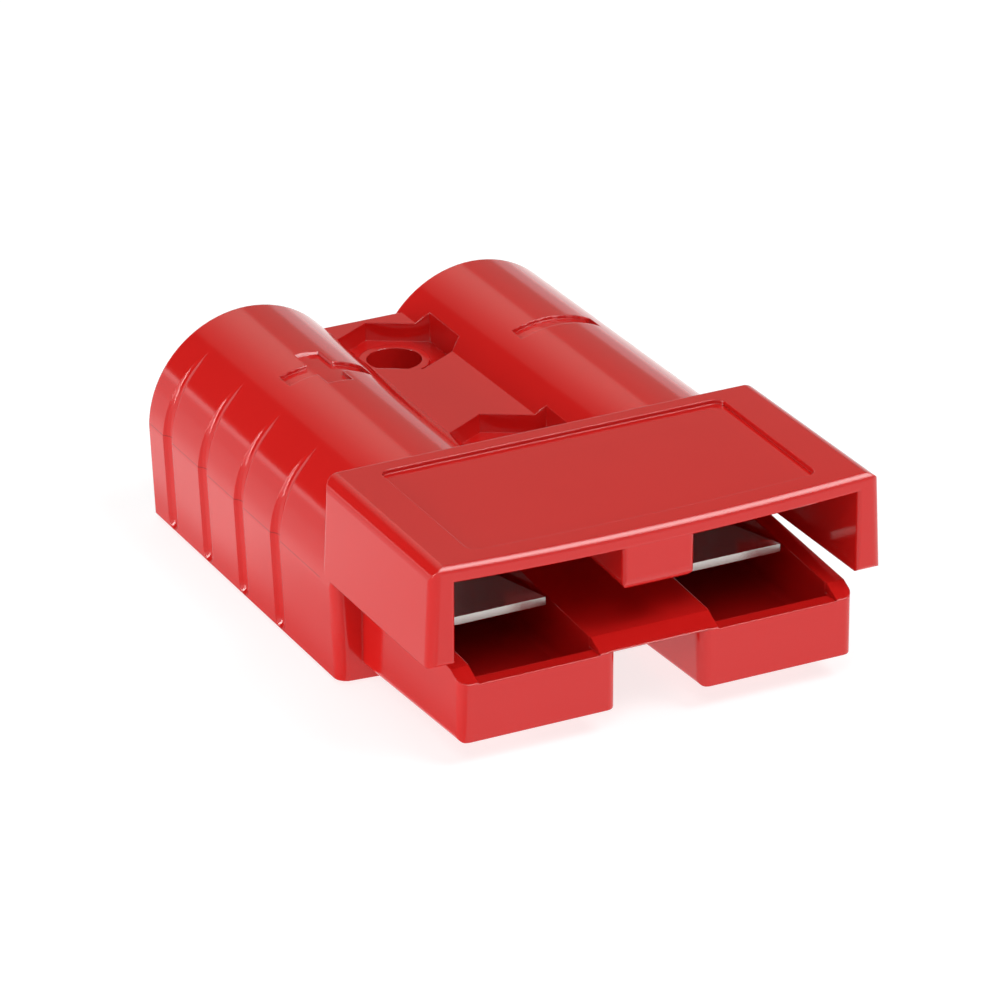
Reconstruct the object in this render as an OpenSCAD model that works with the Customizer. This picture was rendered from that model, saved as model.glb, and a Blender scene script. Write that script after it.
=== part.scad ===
// Genderless two-pole power connector housing with its two contact springs.
// Millimetres. Mating end towards -Y, cable end towards +Y, resting on z = 0.
// "f" below is a distance measured back from the face of the hood.

/* [Overall] */
// length from the hood face to the cable end
body_len = 47.8; // [46:0.1:50]
// width across the hood at its lower edge
body_wid = 36.5; // [36:0.1:38]
// height of the hood and of the hood's roof line
body_hei = 15.8; // [15.6:0.1:16.4]

/* [Barrels] */
// radius of the round top of each barrel
barrel_r = 8.2; // [7.9:0.05:8.3]
// height of the barrel centre line, level with the mould parting line
barrel_z = 7.55; // [7.5:0.05:7.8]
// how far each barrel leans in towards the cable end, degrees
barrel_lean = 0.67; // [0.2:0.05:0.9]
// draft of the lower sides, degrees
side_draft = 2.86; // [1:0.1:3.5]
// bore that takes the cable and the crimped contact
bore_d = 11.4; // [10:0.1:11.8]
// depth of that bore from the cable end
bore_depth = 20.6; // [18:0.2:21.2]
// distance of each bore from the centre line
bore_x = 9.6; // [9.5:0.05:9.8]

/* [Web and mounting holes] */
// level of the web between the barrels
web_z = 12.9; // [12.5:0.1:13.4]
// how far the web stops short of the cable end
web_back = 0.5; // [0.3:0.1:0.8]
// spacing of the two mounting holes
hole_pitch = 19; // [18.6:0.1:19.2]
// distance of the rear mounting hole from the cable end
hole_back = 5.9; // [5.6:0.05:6.1]
// mounting hole diameter
hole_d = 4.2; // [3.6:0.1:4.6]
// width across the flats of the nut pocket
nut_af = 8.5; // [8:0.1:8.7]
// depth of the nut pocket below the web
nut_depth = 1.5; // [1.1:0.1:1.7]
// radius of the raised seat round each hole
seat_r = 2.7; // [2.5:0.05:3.2]
// height of that seat above the pocket floor
seat_h = 0.4; // [0.2:0.1:0.6]

/* [Hood] */
// length of the hood
hood_len = 17.7; // [17.2:0.1:17.9]
// level of the lower edge of the hood's side walls
wall_z = 8.15; // [8:0.05:8.4]
// thickness of the hood's side walls at the face
wall_t = 2.17; // [1.9:0.01:2.3]
// thickness of the hood's roof
roof_t = 1.3; // [1.1:0.1:1.5]
// draft of the hood's sides, degrees
hood_draft = 2.6; // [1:0.1:3]
// fillet along the two long top edges
hood_fillet = 1.3; // [1:0.1:1.6]
// fillet along the front top edge
face_fillet = 0.6; // [0.4:0.1:0.8]
// radius of the lower front corner of each side wall
lip_corner = 0.5; // [0.3:0.1:1.5]
// rounding of the upright edges of the hood
hood_edge = 0.8; // [0.5:0.1:0.9]
// rounding of the inner edges of the mouth
mouth_edge = 0.35; // [0.2:0.05:0.5]
// depth of the recessed label panel
panel_depth = 0.35; // [0.2:0.05:0.4]
// half width of the label panel
panel_half = 13.9; // [12:0.1:14.4]

/* [Key rib] */
// half width of the key rib under the roof
rib_half = 2.85; // [2.5:0.05:2.9]
// level of the underside of the key rib
rib_z = 11.05; // [10.9:0.05:11.6]
// rounding of the rib's lower edges
rib_edge = 1.0; // [0.6:0.1:1.2]

/* [Tongue] */
// distance of the shoulder behind the hood face
shoulder = 15.4; // [15:0.1:15.8]
// rounding of the shoulder's upright outer edges
shoulder_edge = 0.9; // [0.5:0.1:1.5]
// half width of the tongue
tongue_half = 15.82; // [15.6:0.01:15.9]
// level of the tongue's underside at its front
tongue_z = 1.9; // [1.7:0.02:2.2]
// how far the tongue's face stands proud of the hood face
tongue_proud = 0.13; // [0.05:0.01:0.2]
// half width of the slot between the cups
slot_half = 3.4; // [3.2:0.05:3.5]
// level of the underside of the bridge over the slot
bridge_z = 5.3; // [5:0.1:5.6]
// inner edge of each cup
cup_in = 4.75; // [4.6:0.05:4.9]
// outer edge of each cup
cup_out = 14.4; // [14.2:0.05:14.5]
// level of the cup floors
cup_floor = 3.5; // [3.2:0.1:3.9]
// level of the cups' front lips
lip_z = 6.33; // [6:0.03:6.36]
// rounding of the tongue's lower long edges
tongue_edge = 0.4; // [0.2:0.1:1]

/* [Contact springs] */
// thickness of the spring strip
spring_t = 0.6; // [0.5:0.05:0.7]
// width of the spring strip
spring_w = 8.65; // [8:0.05:9]
// distance of the spring's free end behind the hood face
spring_tip_f = 7.2; // [6.5:0.1:8.5]
// level of the underside of the spring's free end
spring_tip_z = 7.3; // [7:0.05:7.5]
// level of the slot that holds the spring's root
spring_root_z = 4.9; // [4.7:0.05:5.1]
// length of the root inside its slot
spring_root_len = 6.3; // [5:0.1:6.8]

/* [Side grips] */
// depth of the grip grooves
grip_depth = 0.45; // [0.3:0.05:0.5]
// section radius of the grip grooves
grip_r = 1.0; // [0.8:0.1:1.2]
// spacing of the grip grooves
grip_pitch = 6.35; // [6:0.05:6.4]
// distance of the last groove from the cable end
grip_back = 3.4; // [3:0.1:3.8]

/* [Hidden] */
$fn = 48;
eps = 0.01;
clear = 0.05;
half = body_wid / 2;
plan_taper = barrel_lean;
cup_x = (cup_in + cup_out) / 2;
hole_f = [body_len - hole_back, body_len - hole_back - hole_pitch];
web_end = body_len - web_back;
cup_f = 1.05;
ramp_f = 1.4;
top_front = tongue_z + 5.24;
top_rise = 0.067;
bottom_drop = 0.036;
cup_edge = 0.8;
rib_nose = 1.2;
cavity_taper = 0.12;
reach = 40;
proud = 1.5;
ledge_f = 19.5;
ledge_z = spring_root_z + spring_t + 0.9;
bore_f = body_len - bore_depth;
grip_rise = 0.55;
grip_run = 6.5;
steel = [0.75, 0.74, 0.72];
red = [0.78, 0.1, 0.1];

// y of a point f behind the hood face
function fy(f) = f - (body_len - tongue_proud) / 2;

// unit vector, and the two tangent points and centre of a rounded corner
function unit(v) = v / norm(v);
function ca(a, b, c) = acos(unit(a - b) * unit(c - b)) / 2;
function tp(a, b, r, t) = b + unit(a - b) * (r / tan(t));
function cc(a, b, c, r) = b + unit(unit(a - b) + unit(c - b)) * (r / sin(ca(a, b, c)));

// convex polygon whose corner i has radius rs[i]; zero leaves it sharp
module rpoly(pts, rs) {
  n = len(pts);
  polygon([for (i = [0:n - 1]) let (a = pts[(i + n - 1) % n], b = pts[i], c = pts[(i + 1) % n])
    each rs[i] > 0 ? [tp(a, b, rs[i], ca(a, b, c)), tp(c, b, rs[i], ca(a, b, c))] : [b]]);
  for (i = [0:n - 1]) if (rs[i] > 0)
    translate(cc(pts[(i + n - 1) % n], pts[i], pts[(i + 1) % n], rs[i])) circle(r = rs[i]);
}

// an X-Z outline run back from f0 to f1
module along_y(f0, f1) translate([0, fy(f1), 0]) rotate([90, 0, 0]) linear_extrude(f1 - f0) children();

// an f-Z outline run across from x0 to x1
module along_x(x0, x1) translate([x0, fy(0), 0]) rotate([90, 0, 90]) linear_extrude(x1 - x0) children();

// an X-f outline run up from z0 to z1
module along_z(z0, z1) translate([0, fy(0), z0]) linear_extrude(z1 - z0) children();

module both_sides() {
  children();
  mirror([1, 0, 0]) children();
}

// corner-rounding cutter for an upright edge at x, f with material towards +x and +f
module edge_cut(r) difference() {
  translate([-1, -1]) square(r + 1);
  translate([r, r]) circle(r = r);
}

// what a fillet of radius r takes off corner b, between sides b-a and b-c
module corner_cut(a, b, c, r) difference() {
  ta = tp(a, b, r, ca(a, b, c));
  tc = tp(c, b, r, ca(a, b, c));
  u = unit(b - a);
  v = unit(b - c);
  polygon([ta, ta + v, b + u + v, tc + u, tc]);
  translate(cc(a, b, c, r)) circle(r = r);
}

// right-hand half space of the hood: drafted and tapered side, rounded upright edges
module hood_side() {
  translate([half, 0, barrel_z]) rotate([0, -hood_draft, 0]) translate([-half, 0, 0]) along_z(-4, 12)
    rpoly([[-reach, 0], [half, 0], [half - hood_len * tan(plan_taper), hood_len], [-reach, hood_len]],
      [0, hood_edge, hood_edge, 0]);
}

// fillet along the right-hand top edge, following the taper in plan
module hood_edge_cut() {
  top = [half + eps - (body_hei - barrel_z) * tan(hood_draft), body_hei + eps];
  translate([half, fy(0), 0]) rotate([0, 0, plan_taper]) translate([-half, -fy(0), 0]) along_y(-2, hood_len + 2)
    corner_cut([0, body_hei + eps], top, [half + eps, barrel_z], hood_fillet);
}

module hood_outer() difference() {
  intersection() {
    hood_side();
    mirror([1, 0, 0]) hood_side();
    translate([-reach / 2, -reach, wall_z]) cube([reach, 2 * reach, body_hei - wall_z]);
  }
  both_sides() hood_edge_cut();
  along_x(-reach / 2, reach / 2) {
    corner_cut([-eps, 0], [-eps, body_hei + eps], [hood_len, body_hei + eps], face_fillet);
    corner_cut([-eps, body_hei], [-eps, wall_z - eps], [hood_len, wall_z - eps], lip_corner);
  }
}

// room inside the hood: open below and in front, its mouth edges rounded
module hood_cavity() {
  w = half - wall_t;
  z = body_hei - roof_t;
  intersection() {
    along_z(-6, 20) {
      polygon([[-w - 2 * eps, -2], [w + 2 * eps, -2], [w - cavity_taper, 16], [cavity_taper - w, 16]]);
      both_sides() translate([w, 0]) edge_cut(mouth_edge);
    }
    along_x(-half, half) {
      translate([-2, -5]) square([shoulder + 2, z + 5]);
      translate([0, z]) edge_cut(mouth_edge);
    }
  }
}

module key_rib() intersection() {
  along_y(0.05, shoulder + 0.5)
    rpoly([[-rib_half, rib_z], [rib_half, rib_z], [rib_half, body_hei - 0.9], [-rib_half, body_hei - 0.9]],
      [rib_edge, rib_edge, 0, 0]);
  along_x(-rib_half - 1, rib_half + 1)
    rpoly([[0.05, rib_z], [17, rib_z], [17, body_hei - 0.9], [0.05, body_hei - 0.9]], [rib_nose, 0, 0, 0]);
  along_z(10, 15)
    rpoly([[-rib_half, 0.05], [rib_half, 0.05], [rib_half, 17], [-rib_half, 17]], [0.4, 0.4, 0, 0]);
}

// one barrel: round top, upright drafted outer side, flat bottom
module barrel() {
  x0 = half - shoulder * tan(plan_taper) - barrel_r;
  d = barrel_z * tan(side_draft);
  translate([x0, fy(shoulder), 0]) rotate([0, 0, barrel_lean]) translate([0, -fy(shoulder), 0])
    along_y(shoulder - 1, body_len + 1) {
      intersection() {
        translate([0, barrel_z]) circle(r = barrel_r);
        translate([-barrel_r, barrel_z]) square([2 * barrel_r, barrel_r + 1]);
      }
      polygon([[-barrel_r, barrel_z], [d - barrel_r, 0], [barrel_r - d, 0], [barrel_r, barrel_z]]);
    }
}

// right-hand side of the body in plan, leaning out with the draft, shoulder corner rounded
module body_side() {
  translate([half, 0, barrel_z]) rotate([0, side_draft, 0]) translate([-half, 0, 0]) along_z(-9, 10)
    rpoly([[-reach, shoulder], [half - shoulder * tan(plan_taper), shoulder],
      [half - body_len * tan(plan_taper), body_len], [-reach, body_len]], [0, shoulder_edge, 0, 0]);
}

module body() intersection() {
  union() {
    both_sides() barrel();
    along_y(shoulder, web_end) translate([-9, 0]) square([18, web_z]);
  }
  body_side();
  mirror([1, 0, 0]) body_side();
}

// one cup of the tongue, outside only
module cup_outer() {
  t1 = top_front + top_rise * (17 - ramp_f);
  intersection() {
    along_x(0, 20) polygon([[-tongue_proud, 0], [-tongue_proud, lip_z + 0.07], [ramp_f, top_front], [17, t1],
      [17, 0]]);
    translate([0, fy(0), tongue_z]) rotate([atan(-bottom_drop), 0, 0]) translate([0, -fy(0), -tongue_z])
      along_y(-2, 17.5) rpoly([[slot_half, tongue_z], [tongue_half, tongue_z], [tongue_half, 20], [slot_half, 20]],
        [tongue_edge, tongue_edge, 0, 0]);
    along_z(0, 12) rpoly([[slot_half, -tongue_proud], [tongue_half, -tongue_proud], [tongue_half, 17],
      [slot_half, 17]], [cup_edge, cup_edge, 0, 0]);
  }
}

// wedge-nosed strip that joins the two cups above the slot
module bridge() {
  t1 = top_front + top_rise * (17 - ramp_f);
  along_x(-slot_half - cup_edge - 0.1, slot_half + cup_edge + 0.1) polygon([[-tongue_proud, lip_z + 0.1],
    [ramp_f, top_front], [17, t1], [17, bridge_z], [cup_f, bridge_z]]);
}

// hollow of one cup, and the window through the shoulder behind it
module cup_hollow() {
  intersection() {
    along_y(0, ledge_f) rpoly([[cup_in + 0.15, cup_floor], [cup_out - 0.15, cup_floor], [cup_out + 0.1, 12.2],
      [cup_in - 0.1, 12.2]], [0.5, 0.5, 0.5, 0.5]);
    along_z(0, 14) rpoly([[cup_in - 1, cup_f], [cup_out + 1, cup_f], [cup_out + 1, 30], [cup_in - 1, 30]],
      [0, 0, 0, 0]);
  }
  translate([cup_in, fy(-1), lip_z]) cube([cup_out - cup_in, cup_f + 1.5, 5]);
}

module chamber() {
  translate([cup_in, fy(ledge_f - eps), ledge_z]) cube([cup_out - cup_in, bore_f - ledge_f + 0.5, 11.2 - ledge_z]);
  translate([bore_x, fy(body_len + 1), barrel_z]) rotate([90, 0, 0]) cylinder(h = bore_depth + 1, d = bore_d);
  translate([bore_x, fy(body_len) + eps, barrel_z]) rotate([90, 0, 0])
    cylinder(h = 0.5, r1 = bore_d / 2 + 0.5, r2 = bore_d / 2);
  translate([cup_x - spring_w / 2 - clear, fy(ledge_f - eps), spring_root_z])
    cube([spring_w + 2 * clear, spring_root_len + clear, spring_t + clear]);
}

module nut_pocket() {
  rc = nut_af / 2 / cos(30);
  difference() {
    translate([0, 0, web_z - nut_depth]) rotate([0, 0, 30]) cylinder(h = 5, r = rc, $fn = 6);
    translate([0, 0, web_z - nut_depth - 1]) cylinder(h = 1 + seat_h, r = seat_r);
  }
  translate([0, 0, -1]) cylinder(h = 20, d = hole_d);
}

// half outline of the groove cutter's round nose: across, out
function nose() = [for (a = [0:18:90]) grip_r * [sin(a), -cos(a)]];

// one grip groove: up the side with a round lower end, then round the barrel, dying out
module grip(f) {
  rm = barrel_r - grip_depth + grip_r;
  x = half - f * tan(plan_taper) - barrel_r;
  section = concat([for (p = nose()) [p[1], p[0]]], [[proud, grip_r], [proud, -grip_r]],
    [for (i = [5:-1:1]) [nose()[i][1], -nose()[i][0]]]);
  translate([x, fy(f), barrel_z + grip_rise]) rotate([0, side_draft, 0]) {
    rotate([90, 0, 0]) rotate_extrude(angle = 75) translate([rm, 0]) polygon(section);
    translate([rm, 0, -grip_run]) linear_extrude(grip_run) polygon(section);
    translate([rm, 0, -grip_run]) rotate([-90, 0, -90]) rotate_extrude(angle = 180)
      polygon(concat(nose(), [[grip_r, proud], [0, proud]]));
  }
}

module housing() color(red) {
  difference() {
    union() {
      difference() {
        union() {
          hood_outer();
          body();
        }
        hood_cavity();
      }
      key_rib();
      both_sides() cup_outer();
      bridge();
    }
    both_sides() {
      cup_hollow();
      chamber();
      for (i = [0:3]) grip(body_len - grip_back - i * grip_pitch);
    }
    for (f = hole_f) translate([0, fy(f), 0]) nut_pocket();
    along_z(body_hei - panel_depth, body_hei + 1)
      rpoly([[-panel_half, 2.1], [panel_half, 2.1], [panel_half, hood_len - 1.25], [-panel_half, hood_len - 1.25]],
        [0.8, 0.8, 0.8, 0.8]);
  }
}

// flat strip: root in its slot, then rising to the free end
module contact_spring() color(steel)
  along_x(cup_x - spring_w / 2, cup_x + spring_w / 2) polygon([
    [ledge_f + spring_root_len, spring_root_z], [ledge_f, spring_root_z], [spring_tip_f, spring_tip_z],
    [spring_tip_f + 0.1, spring_tip_z + spring_t], [ledge_f + 0.08, spring_root_z + spring_t],
    [ledge_f + spring_root_len, spring_root_z + spring_t]]);

module left_contact_spring() mirror([1, 0, 0]) contact_spring();
module right_contact_spring() contact_spring();

housing();
left_contact_spring();
right_contact_spring();
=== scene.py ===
import math

import bmesh
import bpy
from mathutils import Matrix, Vector
from mathutils.bvhtree import BVHTree
from mathutils.geometry import closest_point_on_tri
from mathutils.interpolate import poly_3d_calc


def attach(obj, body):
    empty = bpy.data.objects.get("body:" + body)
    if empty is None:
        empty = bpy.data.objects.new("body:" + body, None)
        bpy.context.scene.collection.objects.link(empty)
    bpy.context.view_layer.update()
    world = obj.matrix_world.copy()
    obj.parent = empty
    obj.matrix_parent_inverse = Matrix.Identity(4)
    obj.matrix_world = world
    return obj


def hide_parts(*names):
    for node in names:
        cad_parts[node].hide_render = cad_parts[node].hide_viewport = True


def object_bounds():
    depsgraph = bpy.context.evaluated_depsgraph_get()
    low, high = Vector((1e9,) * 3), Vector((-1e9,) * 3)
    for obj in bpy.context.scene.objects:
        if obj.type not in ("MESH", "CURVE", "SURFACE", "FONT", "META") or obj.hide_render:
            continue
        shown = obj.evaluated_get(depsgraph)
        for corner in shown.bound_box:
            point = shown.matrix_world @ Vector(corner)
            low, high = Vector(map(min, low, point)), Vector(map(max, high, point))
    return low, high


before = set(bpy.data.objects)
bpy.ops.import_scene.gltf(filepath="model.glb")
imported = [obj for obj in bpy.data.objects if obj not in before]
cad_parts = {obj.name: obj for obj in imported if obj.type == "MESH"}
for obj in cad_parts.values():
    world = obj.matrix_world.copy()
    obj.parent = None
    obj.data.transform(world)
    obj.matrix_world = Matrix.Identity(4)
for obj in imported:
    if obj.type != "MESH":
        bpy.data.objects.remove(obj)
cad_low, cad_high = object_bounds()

# The connector lies on its flat underside, with its mating mouth towards -Y, its cable end
# towards +Y and its positive pole on the left, towards -X.


# ---------------------------------------------------------------------------------------------
# Camera: a long lens that looks down on the connector from its front left, shifted so that the
# connector sits in the middle of the view.
# ---------------------------------------------------------------------------------------------
CAMERA_PLACE = (-0.20648, -0.400545, 0.21704)
CAMERA_TILT, CAMERA_TURN = math.radians(64.948), math.radians(-27.496)
LENS_LENGTH, SHIFT_ACROSS, SHIFT_UP = 243.6, -0.0285, 0.0139
NEAREST, FARTHEST = 0.05, 20.0

lens = bpy.data.cameras.new("product_camera")
lens.sensor_width = 36.0
lens.lens = LENS_LENGTH
lens.shift_x, lens.shift_y = SHIFT_ACROSS, SHIFT_UP
lens.clip_start, lens.clip_end = NEAREST, FARTHEST
product_camera = bpy.data.objects.new("product_camera", lens)
product_camera.location = CAMERA_PLACE
product_camera.rotation_euler = (CAMERA_TILT, 0.0, CAMERA_TURN)
bpy.context.scene.collection.objects.link(product_camera)
bpy.context.scene.camera = product_camera
bpy.context.scene.view_settings.view_transform = "Standard"


# ---------------------------------------------------------------------------------------------
# Studio: a white table and an even white surround, lit by large soft boxes. A graded panel
# behind the connector, and glints that light nothing else, are seen in its gloss alone.
# ---------------------------------------------------------------------------------------------
MM = 0.001
WHITE = (1.0, 1.0, 1.0, 1.0)


class Sock:
    """A node's output socket, on which sums and masks are written as plain maths."""

    def __init__(self, wiring, socket):
        self.wiring, self.socket = wiring, socket

    def __getitem__(self, output):
        return Sock(self.wiring, self.socket.node.outputs[output])

    def math(self, operation, *others):
        return self.wiring.node("ShaderNodeMath", {"operation": operation}, self, *others)

    def __add__(self, other):
        return self.math("ADD", other)

    def __sub__(self, other):
        return self.math("SUBTRACT", other)

    def __rsub__(self, other):
        return self.wiring.node("ShaderNodeMath", {"operation": "SUBTRACT"}, other, self)

    def __mul__(self, other):
        return self.math("MULTIPLY", other)

    def __truediv__(self, other):
        return self.math("DIVIDE", other)

    def __gt__(self, other):
        return self.math("GREATER_THAN", other)

    def __abs__(self):
        return self.math("ABSOLUTE")

    __radd__, __rmul__ = __add__, __mul__

    def smooth(self, low, high):
        return self.wiring.node("ShaderNodeMapRange", {"interpolation_type": "SMOOTHSTEP"},
                                self, low, high, 0.0, 1.0)


class Wiring:
    """The nodes of one material, world or geometry tree."""

    def __init__(self, tree):
        self.tree = tree
        tree.nodes.clear()

    def node(self, kind, settings=None, *inputs, **named):
        made = self.tree.nodes.new(kind)
        for name, setting in (settings or {}).items():
            setattr(made, name, setting)
        spaced = [(name.replace("_", " "), value) for name, value in named.items()]
        for key, value in [*enumerate(inputs), *spaced]:
            if isinstance(value, Sock):
                self.tree.links.new(value.socket, made.inputs[key])
            elif value is not None:
                made.inputs[key].default_value = value
        return Sock(self, made.outputs[0]) if made.outputs else None


def new_material(name):
    made = bpy.data.materials.new(name)
    made.use_nodes = True
    return made, Wiring(made.node_tree)


# the table glows a plain white, and more for bounced light, so the underside isn't left dark
TABLE_SIZE, TABLE_PAPER = 6.0, (0.30, 0.30, 0.30, 1.0)
TABLE_GLOW, TABLE_BOUNCE = 0.78, 0.62
# painted shade: in the gloss alone, the table's glow on the connector's left is darkened: far off,
# towards the front, and as painted shadows close under the connector's edge and beside the hood.
# Each loss is the share of the light that goes there.
SHADED_FROM = 17.5 * MM
FAR_FROM, FAR_TO, FAR_LOSS = 22.0 * MM, 40.0 * MM, 0.35
FRONT_TO, FRONT_LOSS = 22.0 * MM, 0.32
EDGE_FROM, EDGE_TO, EDGE_LOSS = 18.0 * MM, 20.5 * MM, 0.55
HOOD_SHADE_FRONT, HOOD_SHADE_BACK = 4.0 * MM, 20.0 * MM
HOOD_SHADE_NEAR, HOOD_SHADE_FAR, HOOD_SHADE_LOSS = 22.0 * MM, 26.0 * MM, 0.45

bpy.ops.mesh.primitive_plane_add(size=TABLE_SIZE, location=(0, 0, 0))
table = bpy.context.object
table.name = "studio_sweep"
lit_white_table, paper = new_material("lit_white_table")
rays = paper.node("ShaderNodeLightPath")
mirrored, bounced = rays["Is Glossy Ray"], rays["Is Diffuse Ray"]
spot = paper.node("ShaderNodeSeparateXYZ", None, paper.node("ShaderNodeTexCoord")["Object"])
leftwards = spot["X"] * -1.0
far_off = 1.0 - leftwards.smooth(FAR_FROM, FAR_TO) * FAR_LOSS
to_front = spot["Y"].smooth(0.0, FRONT_TO) * FRONT_LOSS + (1.0 - FRONT_LOSS)
edge_painted_shadow = leftwards.smooth(EDGE_FROM, EDGE_TO) * EDGE_LOSS + (1.0 - EDGE_LOSS)
hood_painted_shadow = 1.0 - ((1.0 - spot["Y"].smooth(HOOD_SHADE_FRONT, HOOD_SHADE_BACK))
                 * (1.0 - leftwards.smooth(HOOD_SHADE_NEAR, HOOD_SHADE_FAR)) * HOOD_SHADE_LOSS)
# the painted shade and shadows on the table, as the share of its glow that glossy rays still see
kept_light = far_off * to_front * edge_painted_shadow * hood_painted_shadow
glow = TABLE_GLOW * (1.0 - mirrored * (leftwards > SHADED_FROM) * (1.0 - kept_light)
                     + bounced * TABLE_BOUNCE)
glowing_paper = paper.node("ShaderNodeAddShader", None,
                           paper.node("ShaderNodeBsdfDiffuse", None, TABLE_PAPER),
                           paper.node("ShaderNodeEmission", None, WHITE, glow))
paper.node("ShaderNodeOutputMaterial", None, glowing_paper)
table.data.materials.append(lit_white_table)

# the surround is white to the eye and through clear pieces, and lower in the gloss and as a fill.
# A brighter skyline on its left is seen in the gloss alone.
SURROUND_FILL, SURROUND_MIRRORED, SKYLINE_LIFT = 0.22, 0.72, 0.9
SKYLINE_FOOT, SKYLINE_TOP = 0.12, 0.16
SKYLINE_FULL, SKYLINE_END = -0.45, -0.25

world = bpy.data.worlds.new("white_surround")
world.use_nodes = True
surround = Wiring(world.node_tree)
rays = surround.node("ShaderNodeLightPath")
seen = surround.node("ShaderNodeMath", {"operation": "ADD", "use_clamp": True},
                     rays["Is Camera Ray"], rays["Is Transmission Ray"])
heading = surround.node("ShaderNodeSeparateXYZ", None,
                        surround.node("ShaderNodeTexCoord")["Generated"])
skyline = (heading["Z"].smooth(SKYLINE_FOOT, SKYLINE_TOP)
           * (1.0 - heading["X"].smooth(SKYLINE_FULL, SKYLINE_END)) * SKYLINE_LIFT)
mirrored_lift = skyline + (SURROUND_MIRRORED - SURROUND_FILL)
brightness = seen * (1.0 - SURROUND_FILL) + rays["Is Glossy Ray"] * mirrored_lift + SURROUND_FILL
surround.node("ShaderNodeOutputWorld", None,
              surround.node("ShaderNodeBackground", None, WHITE, brightness))
bpy.context.scene.world = world


def soft_box(name, place, size, watts, target=(0.0, 0.0, 5 * MM), height=None, gloss=True, body=True):
    data = bpy.data.lights.new(name, "AREA")
    data.shape, data.size, data.size_y, data.energy = "RECTANGLE", size, height or size, watts
    box = bpy.data.objects.new(name, data)
    box.location = place
    box.rotation_euler = (Vector(target) - Vector(place)).to_track_quat("-Z", "Y").to_euler()
    box.visible_glossy, box.visible_diffuse = gloss, body
    bpy.context.scene.collection.objects.link(box)


OVERHEAD = (0.28, -0.30, 0.62)
soft_box("high_front_box", (-0.35, -0.50, 0.76), 0.40, 2.4, gloss=False)
soft_box("high_back_box", (0.05, 0.42, 0.85), 0.50, 1.9, gloss=False)
soft_box("low_left_box", (-0.90, 0.10, 0.15), 0.40, 4.3, gloss=False)
soft_box("overhead_box", OVERHEAD, 0.32, 2.7)
soft_box("edge_glint", OVERHEAD, 0.55, 5.0, body=False)
soft_box("groove_glint", (-0.86, 0.22, 0.30), 0.20, 5.0, target=(-20 * MM, 10 * MM, 10 * MM),
         height=0.50, body=False)

# the graded panel stands behind the connector. Its light climbs from the left in a slow rise with
# a step in it, and falls again at the right. Rise, step and fall are degrees from straight behind.
GRADED_DISTANCE, GRADED_HALF_WIDTH = 1.2, 2.64
GRADED_BOTTOM = GRADED_DISTANCE * math.tan(math.radians(13.0))
GRADED_TOP = GRADED_DISTANCE * math.tan(math.radians(62.0))
GRADED_COLOUR = (1.0, 0.97, 0.87, 1.0)
LEVEL_DARK, LEVEL_PEAK, LEVEL_RIGHT = 0.04, 0.85, 0.36
RISE_FROM, RISE_TO, RISE_SHARE = -14.0, 17.0, 0.75
STEP_FROM, STEP_TO = -12.5, -11.0
FALL_FROM, FALL_TO = 20.0, 23.0

bpy.ops.mesh.primitive_plane_add(size=1.0)
graded_panel = bpy.context.object
graded_panel.name = "graded_panel"
graded_panel.data.transform(
    Matrix.Translation((0.0, GRADED_DISTANCE, (GRADED_BOTTOM + GRADED_TOP) / 2))
    @ Matrix.Rotation(math.radians(90), 4, "X")
    @ Matrix.Diagonal((2 * GRADED_HALF_WIDTH, GRADED_TOP - GRADED_BOTTOM, 1.0, 1.0)))
graded_light, grade = new_material("graded_panel")
slope = grade.node("ShaderNodeSeparateXYZ", None,
                   grade.node("ShaderNodeTexCoord")["Object"])["X"] / GRADED_DISTANCE


def between(first, last):
    return slope.smooth(math.tan(math.radians(first)), math.tan(math.radians(last)))


rise = between(RISE_FROM, RISE_TO) * RISE_SHARE + between(STEP_FROM, STEP_TO) * (1.0 - RISE_SHARE)
level = (LEVEL_DARK + rise * (LEVEL_PEAK - LEVEL_DARK)
         - between(FALL_FROM, FALL_TO) * (LEVEL_PEAK - LEVEL_RIGHT))
grade.node("ShaderNodeOutputMaterial", None,
           grade.node("ShaderNodeEmission", None, GRADED_COLOUR, level))
graded_panel.data.materials.append(graded_light)
for light_path in ("camera", "diffuse", "transmission", "shadow", "volume_scatter"):
    setattr(graded_panel, "visible_" + light_path, False)


# ---------------------------------------------------------------------------------------------
# Housing: one moulding in glossy red engineering plastic. The hood's thin roof has sagged a
# little between its side walls as it cooled, and the poles are marked by sunk signs.
# ---------------------------------------------------------------------------------------------
TONGUE_PROUD = 0.13 * MM
HOOD_LENGTH, HOOD_TOP = 17.7 * MM, 15.8 * MM
hood_face_y = cad_low.y + TONGUE_PROUD


def behind_face(y):
    return y - hood_face_y


# the solid's loose triangles are merged into faces
MERGED, FLAT = 0.002 * MM, math.radians(0.05)
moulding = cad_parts["housing"].data.copy()
moulding.name = "housing_moulding"
shape = bmesh.new()
shape.from_mesh(moulding)
bmesh.ops.remove_doubles(shape, verts=shape.verts, dist=MERGED)
bmesh.ops.dissolve_limit(shape, angle_limit=FLAT, verts=shape.verts, edges=shape.edges)

# the rim of the sunk bare panel on the roof is rounded over
PANEL_HALF, PANEL_FRONT, PANEL_BACK = 13.9 * MM, 2.1 * MM, 16.45 * MM
RIM_ROUNDING, RIM_STEPS = 0.16 * MM, 3
NEAR, UPRIGHT = 0.02 * MM, 0.2


def on_panel_outline(point):
    return (abs(point.z - HOOD_TOP) < NEAR and abs(point.x) < PANEL_HALF + NEAR
            and PANEL_FRONT - NEAR < behind_face(point.y) < PANEL_BACK + NEAR)


rim = [edge for edge in shape.edges if all(on_panel_outline(v.co) for v in edge.verts)
       and any(abs(face.normal.z) < UPRIGHT for face in edge.link_faces)]
bmesh.ops.bevel(shape, geom=rim, offset=RIM_ROUNDING, offset_type="OFFSET", segments=RIM_STEPS,
                profile=0.5, affect="EDGES", clamp_overlap=True)

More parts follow.
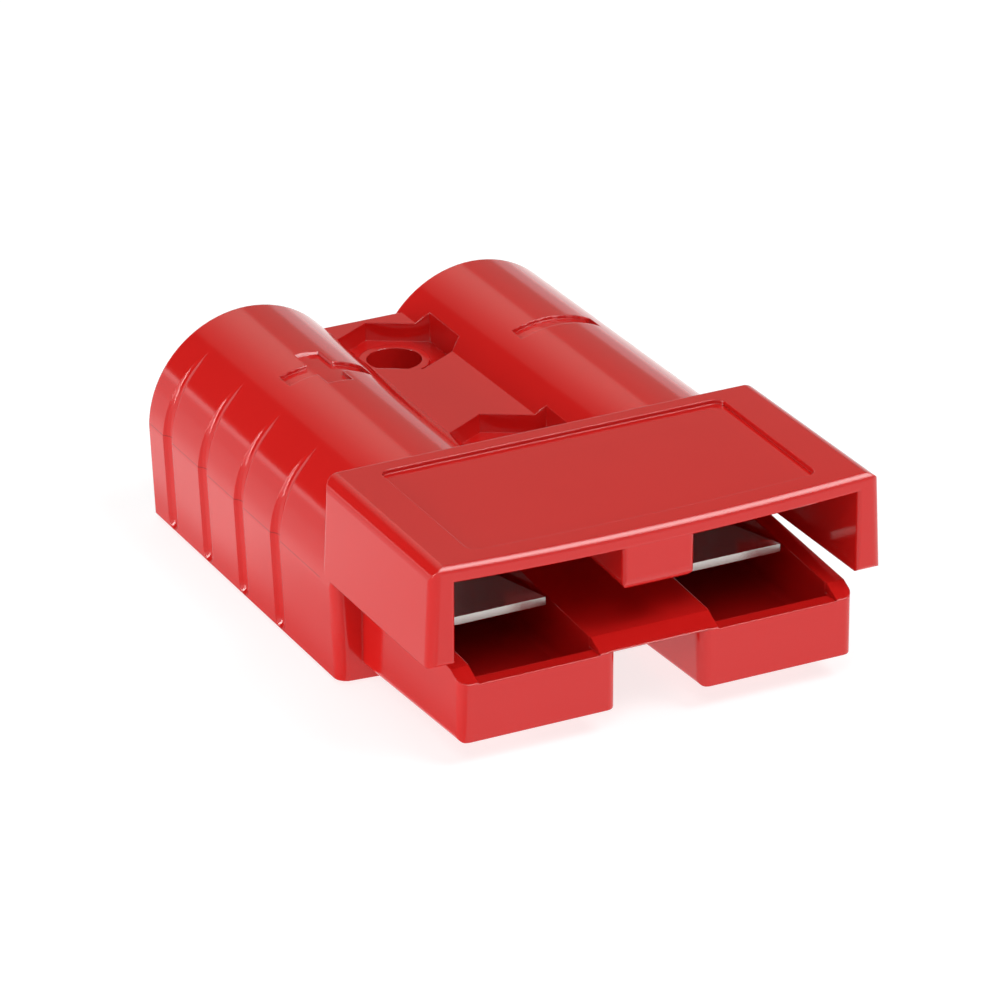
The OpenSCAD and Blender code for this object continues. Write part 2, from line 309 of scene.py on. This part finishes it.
# the bridge between the cups thins to a finer nose than the solid's: its underside falls less
NOSE_HALF, NOSE_LENGTH, NOSE_HEIGHT = 4.4 * MM, 1.3 * MM, 6.43 * MM
NOSE_DRAWN_FALL, NOSE_FALL = 0.958, 0.42
for v in shape.verts:
    back = behind_face(v.co.y) + TONGUE_PROUD
    on_underside = abs(v.co.z - NOSE_HEIGHT + back * NOSE_DRAWN_FALL) < NEAR
    if abs(v.co.x) < NOSE_HALF and back < NOSE_LENGTH and on_underside:
        v.co.z = NOSE_HEIGHT - back * NOSE_FALL

# the roof is cut every 1 mm across and every 2 mm back from the face, so that it can bend down
# towards the middle of its free edge
ROOF_SAG, SAG_HALF, SAG_LENGTH, SAG_FROM = 0.48 * MM, 17.6 * MM, 17.0 * MM, 10.4 * MM
SAG_EASE, PAST_HOOD, ON_CUT, SLIVER = 1.5, 0.5 * MM, 0.001 * MM, 0.004 * MM
lengthwise = [(Vector((x * MM, 0.0, 0.0)), Vector((1.0, 0.0, 0.0))) for x in range(-17, 18)]
crosswise = [(Vector((0.0, hood_face_y + back * MM, 0.0)), Vector((0.0, 1.0, 0.0)))
             for back in range(1, 18, 2)]


def on_roof(v):
    return v.co.z > SAG_FROM and behind_face(v.co.y) < HOOD_LENGTH + PAST_HOOD


for place, direction in lengthwise + crosswise:
    roof = [v for v in shape.verts if on_roof(v)]
    roof += [edge for edge in shape.edges if any(on_roof(v) for v in edge.verts)]
    roof += [face for face in shape.faces if any(on_roof(v) for v in face.verts)]
    bmesh.ops.bisect_plane(shape, geom=roof, dist=ON_CUT, plane_co=place, plane_no=direction)
bmesh.ops.remove_doubles(shape, verts=shape.verts, dist=SLIVER)
bmesh.ops.dissolve_degenerate(shape, dist=ON_CUT, edges=shape.edges)


def sag(x, y):
    across = min(abs(x) / SAG_HALF, 1.0)
    back = max(min(behind_face(y) / SAG_LENGTH, 1.0), 0.0)
    return ROOF_SAG * (1.0 - across ** 2) * (1.0 - back) ** SAG_EASE


for v in shape.verts:
    if v.co.z > SAG_FROM:
        v.co.z -= sag(v.co.x, v.co.y)
shape.to_mesh(moulding)
shape.free()
housing = bpy.data.objects.new("housing_moulding", moulding)
bpy.context.scene.collection.objects.link(housing)

# the red plastic, a little uneven in colour and gloss, with a fine parting line along the sides that is
# drawn as a thin darker line, a painted shade of its seam
RED_DEEP, RED_PALE = (0.52, 0.0095, 0.008, 1.0), (0.56, 0.0115, 0.010, 1.0)
PARTING_SHADE_RED, PARTING_SHADE_STRENGTH = (0.16, 0.004, 0.004, 1.0), 0.75
PARTING_HEIGHT, PARTING_CORE, PARTING_EDGE = 7.85 * MM, 0.015 * MM, 0.05 * MM
SIDE_FROM = 17.2 * MM
FLOW_SCALE, FLOW_DETAIL, FINE_SCALE, FINE_DETAIL = 90.0, 3.0, 2600.0, 2.0
GLOSS_ROUGHNESS, FLOW_ROUGHNESS, FINE_ROUGHNESS = 0.075, 0.03, 0.02
EDGE_SOFTENING, SKIN_STRENGTH, SKIN_DEPTH = 0.14 * MM, 0.12, 0.02 * MM
FLOW_RELIEF, FINE_RELIEF = 6.0, 0.4


def mix_colours(wiring, factor, first, second):
    other_types = [None] * 5
    return wiring.node("ShaderNodeMix", {"data_type": "RGBA"}, factor, *other_types, first, second)[2]


red_moulding, red = new_material("red_moulding")
point = red.node("ShaderNodeTexCoord")["Object"]
flow = red.node("ShaderNodeTexNoise", None, Vector=point, Scale=FLOW_SCALE, Detail=FLOW_DETAIL)
fine = red.node("ShaderNodeTexNoise", None, Vector=point, Scale=FINE_SCALE, Detail=FINE_DETAIL)
spot = red.node("ShaderNodeSeparateXYZ", None, point)
# painted shade: a thin darker line along the parting line on the sides behind the hood, standing in for the
# shade of its fine seam
off_line = abs(spot["Z"] - PARTING_HEIGHT).smooth(PARTING_CORE, PARTING_EDGE)
parting_shade = ((1.0 - off_line) * (abs(spot["X"]) > SIDE_FROM)
           * (spot["Y"] > hood_face_y + HOOD_LENGTH))
shade = mix_colours(red, flow, RED_DEEP, RED_PALE)
shade = mix_colours(red, parting_shade * PARTING_SHADE_STRENGTH, shade, PARTING_SHADE_RED)
softened = red.node("ShaderNodeBevel", {"samples": 6}, EDGE_SOFTENING)
skin = red.node("ShaderNodeBump", None, SKIN_STRENGTH, SKIN_DEPTH,
                Height=flow * FLOW_RELIEF + fine * FINE_RELIEF, Normal=softened)
roughness = GLOSS_ROUGHNESS + flow * FLOW_ROUGHNESS + fine * FINE_ROUGHNESS
red.node("ShaderNodeOutputMaterial", None,
         red.node("ShaderNodeBsdfPrincipled", None, Base_Color=shade, Roughness=roughness, IOR=1.5,
                  Normal=skin))
housing.data.materials.clear()
housing.data.materials.append(red_moulding)

# a sign's stroke is a straight bar whose floor follows the barrel, one tree for all three strokes
BODY_HALF = 18.25 * MM
BARREL_RADIUS, BARREL_HEIGHT, BARREL_LEAN = 8.2 * MM, 7.55 * MM, math.radians(0.67)
SIGN_DEPTH, BAR_ROOF = 0.30 * MM, 1.5 * BARREL_RADIUS
FLOOR_POINTS = 17
bar_tree = bpy.data.node_groups.new("sunk_bar", "GeometryNodeTree")
bar = Wiring(bar_tree)
bar_inputs = {}
for title, kind in (("Width", "Float"), ("Length", "Float"), ("Aside", "Float"),
                    ("Floor Radius", "Float"), ("Axis", "Vector"), ("Finish", "Material")):
    socket = bar_tree.interface.new_socket(title, in_out="INPUT", socket_type="NodeSocket" + kind)
    bar_inputs[title] = socket.identifier
bar_tree.interface.new_socket("Geometry", in_out="OUTPUT", socket_type="NodeSocketGeometry")
given = bar.node("NodeGroupInput")
corner = bar.node("ShaderNodeSeparateXYZ", None, bar.node("GeometryNodeInputPosition"))
size = bar.node("ShaderNodeCombineXYZ", None, given["Width"], given["Length"], 1.0)
block = bar.node("GeometryNodeMeshCube", None, size, FLOOR_POINTS, 2, 2)
radius, aside = given["Floor Radius"], corner["X"] + given["Aside"]
floor_height = (radius * radius - aside * aside).math("SQRT")
height = bar.node("GeometryNodeSwitch", {"input_type": "FLOAT"}, corner["Z"] > 0.0, floor_height, BAR_ROOF)
offset = bar.node("ShaderNodeCombineXYZ", None, aside, corner["Y"], height)
laid = bar.node("GeometryNodeSetPosition", None, block,
                Position=bar.node("ShaderNodeVectorMath", {"operation": "ADD"}, given["Axis"], offset))
real = bar.node("GeometryNodeRealizeInstances", None, laid)
finished = bar.node("GeometryNodeSetMaterial", None, real, Material=given["Finish"])
bar.node("NodeGroupOutput", None, finished)


def barrel_axis(side, back):
    across = BODY_HALF - back * math.tan(BARREL_LEAN) - BARREL_RADIUS
    return Vector((side * across, hood_face_y + back, BARREL_HEIGHT))


# each stroke: its pole's side, its left and right from the barrel's crest, its front and back
SIGN_STROKES = ((-1, -0.55, 1.48, 32.2, 38.0), (-1, -2.80, 3.90, 34.0, 35.85), (1, -2.94, 3.66, 33.95, 35.6))
for side, left, right, front, back in SIGN_STROKES:
    cutter = bpy.data.objects.new("sign_bar", bpy.data.meshes.new("sign_bar"))
    bpy.context.scene.collection.objects.link(cutter)
    maker = cutter.modifiers.new("bar", "NODES")
    maker.node_group = bar_tree
    maker[bar_inputs["Width"]] = (right - left) * MM
    maker[bar_inputs["Length"]] = (back - front) * MM
    maker[bar_inputs["Aside"]] = (left + right) / 2 * MM
    maker[bar_inputs["Floor Radius"]] = BARREL_RADIUS - SIGN_DEPTH
    maker[bar_inputs["Axis"]] = barrel_axis(side, (front + back) / 2 * MM)
    maker[bar_inputs["Finish"]] = red_moulding
    carve = housing.modifiers.new("sunk_sign", "BOOLEAN")
    carve.operation, carve.solver, carve.object = "DIFFERENCE", "EXACT", cutter
    graph = bpy.context.evaluated_depsgraph_get()
    carved = bpy.data.meshes.new_from_object(housing.evaluated_get(graph))
    housing.modifiers.clear()
    housing.data = carved
    bpy.data.objects.remove(cutter)

# each face keeps the normals of the solid's surface that it lies on, turned as the roof bends
SEARCH, SAME_FACE, SHARP = 0.4 * MM, math.cos(math.radians(16)), math.radians(32)
INWARDS, SLOPE_STEP = 0.03, 0.05 * MM
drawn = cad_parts["housing"].data
drawn.calc_loop_triangles()
surface = BVHTree.FromPolygons([v.co for v in drawn.vertices],
                               [tuple(triangle.vertices) for triangle in drawn.loop_triangles])


def before_sag(place):
    raised = place.z + sag(place.x, place.y)
    return Vector((place.x, place.y, raised if raised > SAG_FROM else place.z))


def drawn_normal(place, inside, facing):
    near = [hit for hit in surface.find_nearest_range(inside, SEARCH) if hit[1].dot(facing) > SAME_FACE]
    if not near:
        return Vector()
    triangle = drawn.loop_triangles[min(near, key=lambda hit: hit[3])[2]]
    corners = [drawn.vertices[i].co for i in triangle.vertices]
    shares = poly_3d_calc(corners, closest_point_on_tri(place, *corners))
    turned = [drawn.corner_normals[loop].vector * share for loop, share in zip(triangle.loops, shares)]
    normal = sum(turned, Vector())
    if place.z > SAG_FROM:
        here = sag(place.x, place.y)
        normal.x += normal.z * (sag(place.x + SLOPE_STEP, place.y) - here) / SLOPE_STEP
        normal.y += normal.z * (sag(place.x, place.y + SLOPE_STEP) - here) / SLOPE_STEP
    return normal.normalized()


mesh = housing.data
normals = [None] * len(mesh.loops)
for face in mesh.polygons:
    face.use_smooth = True
    middle = before_sag(face.center)
    for loop in face.loop_indices:
        place = before_sag(mesh.vertices[mesh.loops[loop].vertex_index].co)
        normals[loop] = drawn_normal(place, place.lerp(middle, INWARDS), face.normal)
mesh.set_sharp_from_angle(angle=SHARP)
mesh.normals_split_custom_set(normals)
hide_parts("housing")
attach(housing, "root")


# ---------------------------------------------------------------------------------------------
# Contact springs: two strips of rolled stainless steel, slid into slots behind the cups and
# free at the front, with a fine grain along the strip from the rolling.
# ---------------------------------------------------------------------------------------------
STEEL_DEEP, STEEL_PALE = (0.66, 0.64, 0.61, 1.0), (0.72, 0.70, 0.67, 1.0)
GRAIN_STRETCH = (2400.0, 90.0, 2400.0)
GRAIN_STRENGTH, GRAIN_DEPTH = 0.04, 0.01 * MM
STEEL_ROUGHNESS, GRAIN_ROUGHNESS, STRIP_SOFTENING = 0.16, 0.08, 0.06 * MM

spring_steel, steel = new_material("spring_steel")
stretched = steel.node("ShaderNodeMapping", None, steel.node("ShaderNodeTexCoord")["Object"],
                       Scale=GRAIN_STRETCH)
grain = steel.node("ShaderNodeTexNoise", None, Vector=stretched, Scale=1.0, Detail=1.0)
softened = steel.node("ShaderNodeBevel", {"samples": 6}, STRIP_SOFTENING)
lines = steel.node("ShaderNodeBump", None, GRAIN_STRENGTH, GRAIN_DEPTH, Height=grain, Normal=softened)
tint = mix_colours(steel, grain, STEEL_DEEP, STEEL_PALE)
roughness = STEEL_ROUGHNESS + grain * GRAIN_ROUGHNESS
steel.node("ShaderNodeOutputMaterial", None,
           steel.node("ShaderNodeBsdfPrincipled", None, Base_Color=tint, Metallic=1.0,
                      Roughness=roughness, Normal=lines))
for name in ("left_contact_spring", "right_contact_spring"):
    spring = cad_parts[name]
    spring.data.materials.clear()
    spring.data.materials.append(spring_steel)
